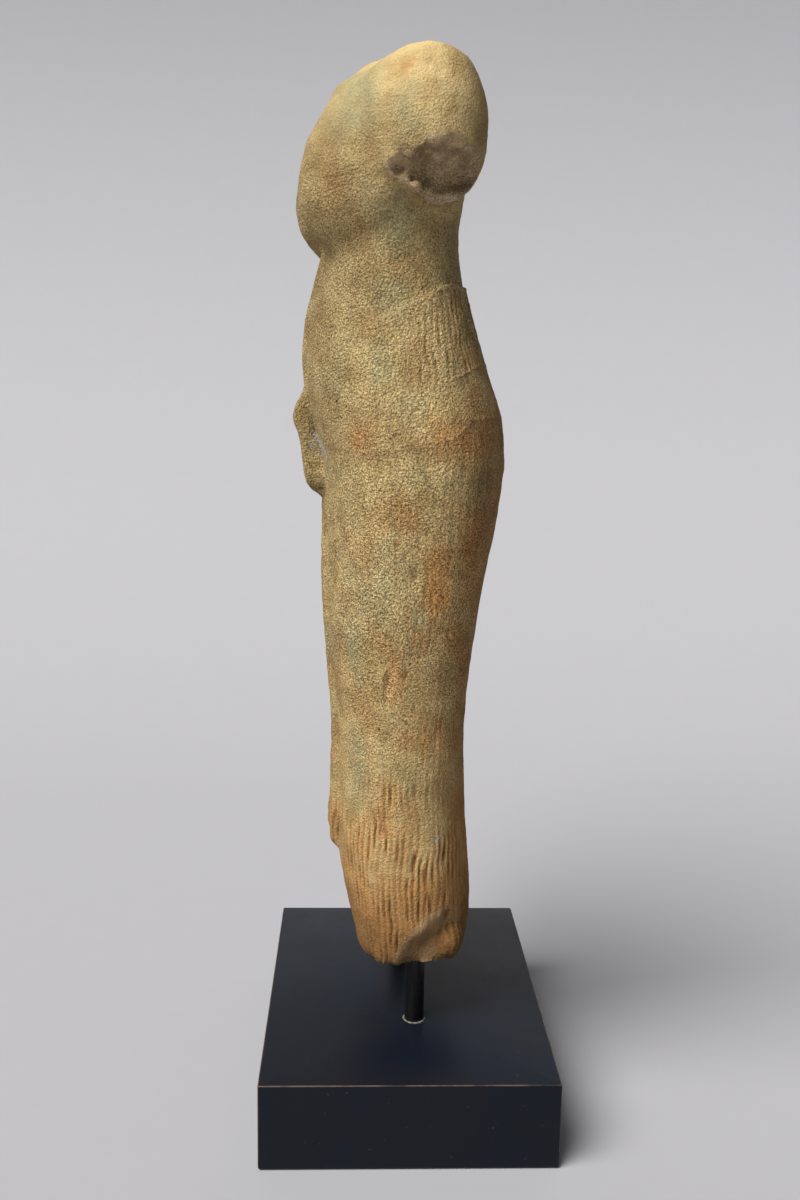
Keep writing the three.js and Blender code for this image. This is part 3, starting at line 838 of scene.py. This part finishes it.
def filler_tree():
    """An uneven bead of filler along a ring."""
    sockets = (
        ("Radius", "NodeSocketFloat"),
        ("Thickness", "NodeSocketFloat"),
        ("Unevenness", "NodeSocketFloat"),
        ("Seed", "NodeSocketFloat"),
        ("Place", "NodeSocketVector"),
        ("Material", "NodeSocketMaterial"),
    )
    tree, given, output, names = geometry_tree("Filler bead", sockets)
    ring = add_node(tree, "GeometryNodeCurvePrimitiveCircle", {"Resolution": 96, "Radius": given["Radius"]})
    place = add_node(tree, "GeometryNodeInputPosition").outputs[0]
    swing = times(tree, seeded_noise(tree, place, given["Seed"], 230.0, 2.0), given["Unevenness"])
    thick = calculate(tree, "MAXIMUM", calculate(tree, "ADD", swing, 1.0), 0.35)
    outward = add_node(tree, "ShaderNodeVectorMath", {0: place}, operation="NORMALIZE").outputs[0]
    spread = times(tree, swing, times(tree, given["Thickness"], 0.5))
    shift = add_node(tree, "ShaderNodeVectorMath", {0: outward, "Scale": spread}, operation="SCALE").outputs[0]
    moved = add_node(tree, "GeometryNodeSetPosition", {"Geometry": ring.outputs[0], "Offset": shift}).outputs[0]
    section = add_node(tree, "GeometryNodeCurvePrimitiveCircle", {"Resolution": 12, "Radius": given["Thickness"]})
    bead = add_node(
        tree,
        "GeometryNodeCurveToMesh",
        {"Curve": moved, "Profile Curve": section.outputs[0], "Scale": thick},
    ).outputs[0]
    placed = add_node(tree, "GeometryNodeTransform", {"Geometry": bead, "Translation": given["Place"]}).outputs[0]
    close_tree(tree, placed, given["Material"], output)
    return tree, names


# Materials

# Sizes of the sandstone's patterns per metre, the depth of its grain in metres, and how strongly painted shade
# darkens its low pits.
BROAD_SCALE, PATCH_SCALE, GRAIN_SCALE, FINE_SCALE = 26.0, 90.0, 1000.0, 1700.0
GRAIN_DEPTH, PIT_SHADE = 0.0022, 0.75


def new_material(name, **values):
    """A material with a plain shader and its fixed values."""
    material = bpy.data.materials.new(name)
    material.use_nodes = True
    shader = material.node_tree.nodes["Principled BSDF"]
    for label, value in values.items():
        shader.inputs[label.replace("_", " ").capitalize()].default_value = value
    place = add_node(material.node_tree, "ShaderNodeTexCoord").outputs["Object"]
    return material, material.node_tree, shader, place


def sandstone(settings):
    """Grainy stone: ochre with grey-green weathering, iron stains, pale deposits and darker breaks; painted shade in
    its pits, grooves, dents and holes and on its back, and painted highlights on the arm break.
    """
    material, tree, shader, place = new_material("weathered sandstone", Roughness=0.93)
    shader.inputs["Specular IOR Level"].default_value = 0.2

    def stored(name):
        return add_node(tree, "ShaderNodeAttribute", attribute_name=name).outputs["Fac"]

    broad = noise_node(tree, place, BROAD_SCALE, 3.0)
    patch = noise_node(tree, place, PATCH_SCALE, 3.0, 0.5)
    crumb = noise_node(tree, place, GRAIN_SCALE, 3.0, 0.75)
    grain = add_node(tree, "ShaderNodeTexVoronoi", {"Vector": place, "Scale": GRAIN_SCALE}).outputs["Distance"]
    fine = noise_node(tree, place, FINE_SCALE, 2.0, 0.8)

    def patchy(strength, low, high, spread, scale):
        drift = noise_node(tree, place, scale, 5.0, 0.6)
        drift = times(tree, calculate(tree, "SUBTRACT", drift, 0.5), spread)
        return remap(tree, calculate(tree, "ADD", strength, drift), low, high)

    green_base = calculate(tree, "MULTIPLY_ADD", calculate(tree, "SUBTRACT", broad, 0.5), 1.6, 0.26)
    green = patchy(calculate(tree, "MAXIMUM", stored("green"), green_base), 0.15, 1.0, 1.3, 60.0)
    dent = stored("dent")
    groove = stored("groove")
    iron = calculate(tree, "MAXIMUM", stored("stain"), times(tree, dent, 0.9))
    iron = calculate(tree, "ADD", iron, times(tree, groove, 0.7))
    stain = patchy(iron, 0.1, 1.15, 1.7, 55.0)
    pale = patchy(stored("pale"), 0.45, 0.95, 1.0, 300.0)
    tint = blend_colours(tree, remap(tree, patch, 0.35, 0.65), colour(settings.ochre), colour(settings.sand))
    tint = blend_colours(tree, green, tint, colour(settings.grey_green))
    tint = blend_colours(tree, stain, tint, colour(settings.iron))
    broken = patchy(stored("broken"), 0.3, 0.7, 0.4, 260.0)
    break_tint = blend_colours(
        tree, remap(tree, patch, 0.38, 0.62), colour(settings.fracture_dark), colour(settings.fracture_light)
    )
    tint = blend_colours(tree, broken, tint, break_tint)
    chipped = times(tree, stored("chipped"), 0.4)
    tint = blend_colours(tree, chipped, tint, colour(settings.fracture_light))
    # Pale spots: a whitish deposit, and painted highlights on the arm break's rims and knobs.
    tint = blend_colours(tree, pale, tint, colour(settings.dust_and_highlight))
    relief = calculate(tree, "MULTIPLY_ADD", grain, -0.25, times(tree, crumb, 0.4))
    relief = calculate(tree, "MULTIPLY_ADD", fine, 0.25, relief)
    relief = times(tree, relief, stored("coarse"))
    # Painted shade in the grain: darker where the bumped grain is low, over its own speckle.
    pits = remap(tree, crumb, 0.34, 0.6, 0.8, 1.12)
    pits = times(tree, pits, remap(tree, fine, 0.36, 0.62, 0.66, 1.3))
    pits = calculate(tree, "SUBTRACT", pits, 1.0)
    pits = calculate(tree, "MULTIPLY_ADD", pits, times(tree, stored("coarse"), PIT_SHADE), 1.0)
    light = times(tree, pits, remap(tree, patch, 0.3, 0.7, 0.86, 1.12))
    # Painted shade comes in here with the lightness by height: darker on the back and at the front.
    light = times(tree, light, stored("lightness_and_shade"))
    # Painted shade: darker down the pleats' grooves, beside the reddish dirt the stain puts in them.
    light = times(tree, light, remap(tree, groove, 0.1, 1.4, 1.0, 0.66))
    # Painted shade: darker in the dents and gouges and on the neck's break.
    light = times(tree, light, remap(tree, dent, 0.1, 1.0, 1.0, 0.7))
    # Painted shade: each small hole is darkened nearly to black, and bumped in.
    holes = 1.0
    for point, radius in HOLES:
        middle = stone_place(settings, point)
        away = add_node(tree, "ShaderNodeVectorMath", {0: place, 1: middle}, operation="DISTANCE").outputs["Value"]
        size = radius * settings.height / 100
        holes = calculate(tree, "MINIMUM", holes, remap(tree, away, 0.7 * size, 1.25 * size))
    light = times(tree, light, calculate(tree, "MULTIPLY_ADD", holes, 0.88, 0.12))
    shade = add_node(tree, "ShaderNodeCombineColor", {0: light, 1: light, 2: light}).outputs[0]
    tree.links.new(blend_colours(tree, 1.0, tint, shade, "MULTIPLY"), shader.inputs["Base Color"])
    height = calculate(tree, "MULTIPLY_ADD", holes, 0.4, calculate(tree, "MULTIPLY_ADD", patch, 0.8, relief))
    roughen(tree, shader, height, 1.0, GRAIN_DEPTH)
    return material


def black_paint(settings):
    """Satin black paint with a cool cast, faint cloudiness and worn top edges."""
    material, tree, shader, place = new_material("satin black paint")
    shader.inputs["Specular IOR Level"].default_value = 0.15
    cloud = noise_node(tree, place, 22.0, 3.0)
    fine = noise_node(tree, place, 240.0, 3.0)
    tint = blend_colours(tree, remap(tree, cloud, 0.35, 0.65), colour(settings.paint), colour(settings.paint_warm))
    parts = add_node(tree, "ShaderNodeSeparateXYZ", {0: place}).outputs
    half = (BLOCK_HIGH - BLOCK_LOW) / 2
    rub = settings.rubbed_width
    gaps = []
    for axis in (0, 1):
        out = calculate(tree, "ABSOLUTE", parts[axis])
        gaps.append(calculate(tree, "SUBTRACT", out, half[axis] - rub))
    below_top = calculate(tree, "SUBTRACT", parts[2], BLOCK_HIGH.z - rub)
    side = calculate(tree, "MAXIMUM", *gaps)
    top_edge = calculate(tree, "MINIMUM", side, below_top)
    upright_edge = calculate(tree, "MINIMUM", *gaps)
    edge = calculate(tree, "MAXIMUM", top_edge, times(tree, upright_edge, 0.6))
    wear = remap(tree, edge, 0.0, rub * 0.5)
    wear = times(tree, wear, remap(tree, noise_node(tree, place, 90.0, 4.0, 0.7), 0.3, 0.6, 0.15, 1.0))
    specks = remap(tree, noise_node(tree, place, 520.0, 1.0), 0.76, 0.79, 0.0, 0.25)
    tint = blend_colours(tree, calculate(tree, "MAXIMUM", wear, specks), tint, colour(settings.bare_edge))
    tree.links.new(tint, shader.inputs["Base Color"])
    gloss = remap(tree, cloud, 0.3, 0.7, 0.27, 0.38)
    tree.links.new(calculate(tree, "MULTIPLY_ADD", fine, 0.06, gloss), shader.inputs["Roughness"])
    roughen(tree, shader, fine, 0.12, 0.0002)
    return material


def black_steel(settings):
    """Blackened steel with fine upright streaks."""
    material, tree, shader, place = new_material("black steel", Metallic=0.3)
    stretch = add_node(tree, "ShaderNodeMapping", {"Vector": place, "Scale": (1.0, 1.0, 0.08)}).outputs[0]
    streak = noise_node(tree, stretch, 900.0, 3.0, 0.6)
    tint = blend_colours(tree, streak, colour(settings.steel_dark), colour(settings.steel_light))
    tree.links.new(tint, shader.inputs["Base Color"])
    tree.links.new(remap(tree, streak, 0.3, 0.7, 0.24, 0.4), shader.inputs["Roughness"])
    roughen(tree, shader, streak, 0.1, 0.0001)
    return material


def pale_filler(settings):
    """Chalky filler, dirtied in places."""
    material, tree, shader, place = new_material("chalky filler", Roughness=0.85)
    dirt = noise_node(tree, place, 900.0, 3.0, 0.6)
    tint = blend_colours(tree, remap(tree, dirt, 0.35, 0.65), colour(settings.filler), colour(settings.filler_dirt))
    tree.links.new(tint, shader.inputs["Base Color"])
    roughen(tree, shader, dirt, 0.5, 0.0002)
    return material


def backdrop_paper(settings):
    """Matt pale paper."""
    material, tree, shader, place = new_material("pale paper", Roughness=0.85)
    fibre = noise_node(tree, place, 60.0, 3.0)
    darker = [channel * 0.97 for channel in settings.paper]
    tint = blend_colours(tree, fibre, colour(settings.paper), colour(darker))
    tree.links.new(tint, shader.inputs["Base Color"])
    return material


# Sizes and colours that a user would change


def length(name, description, default):
    """A length in metres."""
    return FloatProperty(name=name, description=description, default=default, min=0.0, unit="LENGTH", precision=5)


def tone(name, description, default):
    """A colour."""
    return FloatVectorProperty(
        name=name, description=description, default=default, size=3, subtype="COLOR", min=0.0, max=1.0
    )


class StoneSettings(PropertyGroup):
    """Sizes, relief and colours of the stone."""

    height: length("Height", "Nominal height of the stone", 0.370)
    lift: length("Lift", "Clear height between the block and the stone", 0.022)
    segments: IntProperty(name="Segments", description="Points around each ring", default=384, min=48)
    cloth_share: FloatProperty(name="Cloth", description="Thickness of the cloth, 1 as carved", default=1.0)
    pleats: IntProperty(name="Pleats", description="Pleats around the skirt", default=86, min=1)
    pleat_depth: length("Pleat depth", "Depth of the clearest pleats", 0.00055)
    wave_depth: length("Wave depth", "Height of the slow unevenness", 0.0011)
    crumb_depth: length("Crumb depth", "Height of the crumbled grain on breaks", 0.0032)
    seed: FloatProperty(name="Seed", description="Changes the weathering", default=4.0)
    hole_gap: length("Hole clearance", "Gap round each rod", 0.0003)
    ochre: tone("Ochre", "Main stone colour", (0.57, 0.385, 0.16))
    sand: tone("Sand", "Lighter stone colour", (0.62, 0.455, 0.205))
    grey_green: tone("Grey-green", "Weathered patches", (0.48, 0.41, 0.205))
    iron: tone("Iron stain", "Orange-brown stains", (0.60, 0.30, 0.10))
    # Also the colour of the painted highlights on the arm break.
    dust_and_highlight: tone("Dust and highlight", "Whitish deposit and painted highlight", (0.68, 0.62, 0.52))
    fracture_dark: tone("Dark break", "Broken faces, dark", (0.38, 0.26, 0.135))
    fracture_light: tone("Light break", "Broken faces, light", (0.62, 0.455, 0.255))


class StandSettings(PropertyGroup):
    """Sizes and colours of the block, rods and filler."""

    corner: length("Corner", "Rounding of the block's upright edges", 0.0006)
    top_ease: length("Top edge", "Rounding of the top edge", 0.0004)
    foot_ease: length("Bottom edge", "Rounding of the bottom edge", 0.0014)
    rubbed_width: length("Rubbed width", "Width of the worn line on the edges", 0.0005)
    rod_sides: IntProperty(name="Rod sides", description="Sides of each rod", default=64, min=12)
    rod_ease: length("Rod end", "Rounding of each rod's ends", 0.0006)
    bead: length("Filler bead", "Half thickness of the filler round each rod", 0.00042)
    paint: tone("Paint", "Cool black paint", (0.0055, 0.0085, 0.0155))
    paint_warm: tone("Warm paint", "Warmer clouds in the paint", (0.008, 0.0095, 0.0140))
    bare_edge: tone("Bare edge", "Wood that shows along the edges", (0.12, 0.08, 0.06))
    steel_dark: tone("Dark steel", "Darker streaks of the rods", (0.006, 0.006, 0.007))
    steel_light: tone("Light steel", "Lighter streaks of the rods", (0.014, 0.014, 0.016))
    filler: tone("Filler", "Chalky filler", (0.25, 0.235, 0.21))
    filler_dirt: tone("Dirty filler", "Dirt on the filler", (0.09, 0.08, 0.07))


class StageSettings(PropertyGroup):
    """Floor, light and camera."""

    paper: tone("Paper", "Colour of the sweep", (0.42, 0.413, 0.425))
    floor_length: length("Floor", "Flat paper behind the block", 0.35)
    sweep_radius: length("Sweep radius", "Radius where the paper turns up", 1.1)
    width: length("Width", "Half width of the paper", 3.0)
    key_strength: FloatProperty(name="Key light", description="Strength of the key light", default=4.5)
    key_softness: FloatProperty(
        name="Key softness", description="Angle the key light fills", default=0.7, subtype="ANGLE"
    )
    key_place: FloatVectorProperty(
        name="Key place", description="Where the key light comes from", default=(0.82, -0.94, 1.8), subtype="XYZ"
    )
    sky: FloatProperty(name="Room light", description="Strength of the even room light", default=0.09)
    camera_place: FloatVectorProperty(
        name="Camera", description="Where the camera stands", default=(0.49736, -0.02186, 0.29142), subtype="XYZ"
    )
    camera_aim: FloatVectorProperty(
        name="Aim", description="What the camera looks at", default=(0.00478, -0.00422, 0.20742), subtype="XYZ"
    )
    camera_roll: FloatProperty(name="Roll", description="Tilt of the camera", default=0.016, subtype="ANGLE")
    lens: FloatProperty(name="Lens", description="Focal length in millimetres", default=36.3)


class TorsoSettings(PropertyGroup):
    """All settings of the torso and its stage."""

    stone: PointerProperty(type=StoneSettings)
    stand: PointerProperty(type=StandSettings)
    stage: PointerProperty(type=StageSettings)


# Pieces

HOLE_SIDES = 64
BEAD_OUT = 0.7
SWEEP_STEPS, SWEEP_FRONT = 24, 3.0
ROOM_TINT = (0.97, 0.98, 1.0)
SENSOR_WIDTH, NEAR_CLIP = 36.0, 0.01


def circle(radius, sides):
    """Points of a circle as pairs."""
    return [
        (radius * math.cos(2 * math.pi * side / sides), radius * math.sin(2 * math.pi * side / sides))
        for side in range(sides)
    ]


def stack(name, outlines):
    """A closed solid from outlines of equal counts, each with its height, from the bottom up."""
    count = len(outlines[0][0])
    points = [(x, y, height) for outline, height in outlines for x, y in outline]
    faces = [tuple(reversed(range(count)))]
    for ring in range(len(outlines) - 1):
        low, high = ring * count, (ring + 1) * count
        for side in range(count):
            following = (side + 1) % count
            faces.append((low + side, low + following, high + following, high + side))
    faces.append(tuple(range(len(points) - count, len(points))))
    return mesh_piece(name, points, faces)


def shifted(outline, offset):
    """An outline moved in its plane."""
    return [(x + offset.x, y + offset.y) for x, y in outline]


def rounded_rectangle(half_x, half_y, radius, steps=4):
    """Points around a rectangle with rounded corners."""
    points = []
    for quarter, (sign_x, sign_y) in enumerate(((1, 1), (-1, 1), (-1, -1), (1, -1))):
        for step in range(steps + 1):
            angle = math.pi / 2 * (quarter + step / steps)
            x = sign_x * (half_x - radius) + radius * math.cos(angle)
            y = sign_y * (half_y - radius) + radius * math.sin(angle)
            points.append((x, y))
    return points


def eased_profile(low, high, low_ease, high_ease, steps=4):
    """Pairs of inset and height up an edge with a rounded bottom and top."""
    profile = []
    for step in range(steps + 1):
        angle = math.pi / 2 * step / steps
        profile.append((low_ease * (1 - math.sin(angle)), low + low_ease * (1 - math.cos(angle))))
    for step in range(steps + 1):
        angle = math.pi / 2 * step / steps
        profile.append((high_ease * (1 - math.cos(angle)), high - high_ease * (1 - math.sin(angle))))
    return profile


def drill(piece, axes, radius, low, high):
    """Adds a cut for a round hole at each axis, and returns the cutters."""
    cutters = []
    for number, axis in enumerate(axes):
        outline = shifted(circle(radius, HOLE_SIDES), axis)
        cutter = stack(f"cutter_{number}", [(outline, low), (outline, high)])
        modifier = piece.modifiers.new(cutter.name, "BOOLEAN")
        modifier.operation, modifier.solver, modifier.object = "DIFFERENCE", "EXACT", cutter
        cutters.append(cutter)
    return cutters


def discard(pieces):
    """Removes helper objects."""
    for piece in pieces:
        bpy.data.objects.remove(piece)


class TORSO_OT_carve_stone(Operator):
    """Carve the stone with its pleats, breaks and weathering"""

    bl_idname = "torso.carve_stone"
    bl_label = "Stone"

    def execute(self, context):
        settings = context.scene.torso.stone
        piece = stone_base(settings)
        tree, names = carving_tree()
        values = {
            "Pleats": settings.pleats,
            "Pleat depth": settings.pleat_depth,
            "Wave depth": settings.wave_depth,
            "Crumb depth": settings.crumb_depth,
            "Seed": settings.seed,
            "Material": sandstone(settings),
        }
        add_tree(piece, tree, names, values)
        radius = (ROD_HIGH.x - ROD_LOW.x) / 2 + settings.hole_gap
        top = ROD_HIGH.z + settings.hole_gap
        cutters = drill(piece, (LEFT_ROD, RIGHT_ROD), radius, BLOCK_HIGH.z, top)
        settle(piece, sharp_degrees=75)
        discard(cutters)
        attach(piece, ROOT)
        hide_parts("sandstone_torso")
        return {"FINISHED"}


class TORSO_OT_make_block(Operator):
    """Make the black block, drilled for the rods"""

    bl_idname = "torso.make_block"
    bl_label = "Block"

    def execute(self, context):
        settings, stone = context.scene.torso.stand, context.scene.torso.stone
        half = (BLOCK_HIGH - BLOCK_LOW) / 2
        outlines = []
        for inset, height in eased_profile(BLOCK_LOW.z, BLOCK_HIGH.z, settings.foot_ease, settings.top_ease):
            outlines.append((rounded_rectangle(half.x - inset, half.y - inset, settings.corner), height))
        piece = stack("painted_block", outlines)
        piece.data.materials.append(black_paint(settings))
        radius = (ROD_HIGH.x - ROD_LOW.x) / 2 + stone.hole_gap
        cutters = drill(piece, (LEFT_ROD, RIGHT_ROD), radius, ROD_LOW.z - stone.hole_gap, ROD_HIGH.z)
        settle(piece, sharp_degrees=30)
        discard(cutters)
        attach(piece, ROOT)
        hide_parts("display_block")
        return {"FINISHED"}


class TORSO_OT_make_rods(Operator):
    """Make the two steel rods"""

    bl_idname = "torso.make_rods"
    bl_label = "Rods"

    def execute(self, context):
        settings = context.scene.torso.stand
        steel = black_steel(settings)
        radius = (ROD_HIGH.x - ROD_LOW.x) / 2
        profile = eased_profile(ROD_LOW.z, ROD_HIGH.z, settings.rod_ease, settings.rod_ease)
        for side, axis in (("left", LEFT_ROD), ("right", RIGHT_ROD)):
            outlines = [(shifted(circle(radius - inset, settings.rod_sides), axis), z) for inset, z in profile]
            piece = stack(f"steel_rod_{side}", outlines)
            piece.data.materials.append(steel)
            settle(piece, sharp_degrees=30)
            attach(piece, ROOT)
            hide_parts(f"{side}_leg_rod")
        return {"FINISHED"}


class TORSO_OT_make_filler(Operator):
    """Make the pale bead of filler where each rod enters the block"""

    bl_idname = "torso.make_filler"
    bl_label = "Filler"

    def execute(self, context):
        settings = context.scene.torso.stand
        tree, names = filler_tree()
        chalk = pale_filler(settings)
        radius = (ROD_HIGH.x - ROD_LOW.x) / 2
        for number, (side, axis) in enumerate((("left", LEFT_ROD), ("right", RIGHT_ROD))):
            piece = mesh_piece(f"filler_bead_{side}", [], [])
            values = {
                "Radius": radius + settings.bead * BEAD_OUT,
                "Thickness": settings.bead,
                "Unevenness": 3.0,
                "Seed": float(number),
                "Place": (axis.x, axis.y, BLOCK_HIGH.z),
                "Material": chalk,
            }
            add_tree(piece, tree, names, values)
            settle(piece, sharp_degrees=60)
            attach(piece, ROOT)
        return {"FINISHED"}


class TORSO_OT_set_stage(Operator):
    """Lay the pale paper, and set the lights and the camera"""

    bl_idname = "torso.set_stage"
    bl_label = "Stage"

    def execute(self, context):
        settings, scene = context.scene.torso.stage, context.scene
        rows = [(SWEEP_FRONT, 0.0), (-settings.floor_length, 0.0)]
        for step in range(1, SWEEP_STEPS + 1):
            angle = math.pi / 2 * step / SWEEP_STEPS
            x = -settings.floor_length - settings.sweep_radius * math.sin(angle)
            rows.append((x, settings.sweep_radius * (1 - math.cos(angle))))
        rows.append((rows[-1][0], SWEEP_FRONT))
        points = [(x, side * settings.width, z) for x, z in rows for side in (-1, 1)]
        faces = [(2 * row, 2 * row + 1, 2 * row + 3, 2 * row + 2) for row in range(len(rows) - 1)]
        paper = mesh_piece("paper_sweep", points, faces)
        paper.data.materials.append(backdrop_paper(settings))
        paper.data.shade_smooth()

        light = bpy.data.lights.new("key", "SUN")
        light.energy, light.angle = settings.key_strength, settings.key_softness
        key = bpy.data.objects.new("key", light)
        key.location = settings.key_place
        middle = Vector((0, 0, (CAD_BOX[0].z + CAD_BOX[1].z) / 2))
        key.rotation_mode = "QUATERNION"
        key.rotation_quaternion = (middle - key.location).to_track_quat("-Z", "Y")
        scene.collection.objects.link(key)

        world = bpy.data.worlds.new("room")
        scene.world = world
        world.use_nodes = True
        background = world.node_tree.nodes["Background"]
        background.inputs["Color"].default_value = colour(ROOM_TINT)
        background.inputs["Strength"].default_value = settings.sky

        camera = bpy.data.objects.new("camera", bpy.data.cameras.new("camera"))
        camera.data.lens = settings.lens
        camera.data.sensor_width, camera.data.clip_start = SENSOR_WIDTH, NEAR_CLIP
        camera.location = settings.camera_place
        ahead = Vector(settings.camera_aim) - camera.location
        camera.rotation_mode = "QUATERNION"
        camera.rotation_quaternion = ahead.to_track_quat("-Z", "Y") @ Quaternion((0, 0, 1), settings.camera_roll)
        scene.collection.objects.link(camera)
        scene.camera = camera
        scene.view_settings.view_transform = "Standard"
        return {"FINISHED"}


OPERATORS = (
    TORSO_OT_carve_stone,
    TORSO_OT_make_block,
    TORSO_OT_make_rods,
    TORSO_OT_make_filler,
    TORSO_OT_set_stage,
)


class TORSO_PT_panel(Panel):
    """Buttons for every piece and the stage"""

    bl_label = "Sandstone torso"
    bl_space_type = "VIEW_3D"
    bl_region_type = "UI"
    bl_category = "Torso"

    def draw(self, context):
        torso = context.scene.torso
        for operator in OPERATORS:
            self.layout.operator(operator.bl_idname)
        for settings in (torso.stone, torso.stand, torso.stage):
            section = self.layout.box()
            for name in settings.__annotations__:
                section.prop(settings, name)


CLASSES = (StoneSettings, StandSettings, StageSettings, TorsoSettings, *OPERATORS, TORSO_PT_panel)


def register():
    """Registers the classes and hangs the settings on the scene."""
    for each in CLASSES:
        bpy.utils.register_class(each)
    bpy.types.Scene.torso = PointerProperty(type=TorsoSettings)


def unregister():
    """Removes the settings and the classes."""
    del bpy.types.Scene.torso
    for each in reversed(CLASSES):
        bpy.utils.unregister_class(each)


def main():
    """Makes every piece and the stage."""
    register()
    bpy.ops.torso.carve_stone()
    bpy.ops.torso.make_block()
    bpy.ops.torso.make_rods()
    bpy.ops.torso.make_filler()
    bpy.ops.torso.set_stage()


if __name__ == "__main__":
    main()
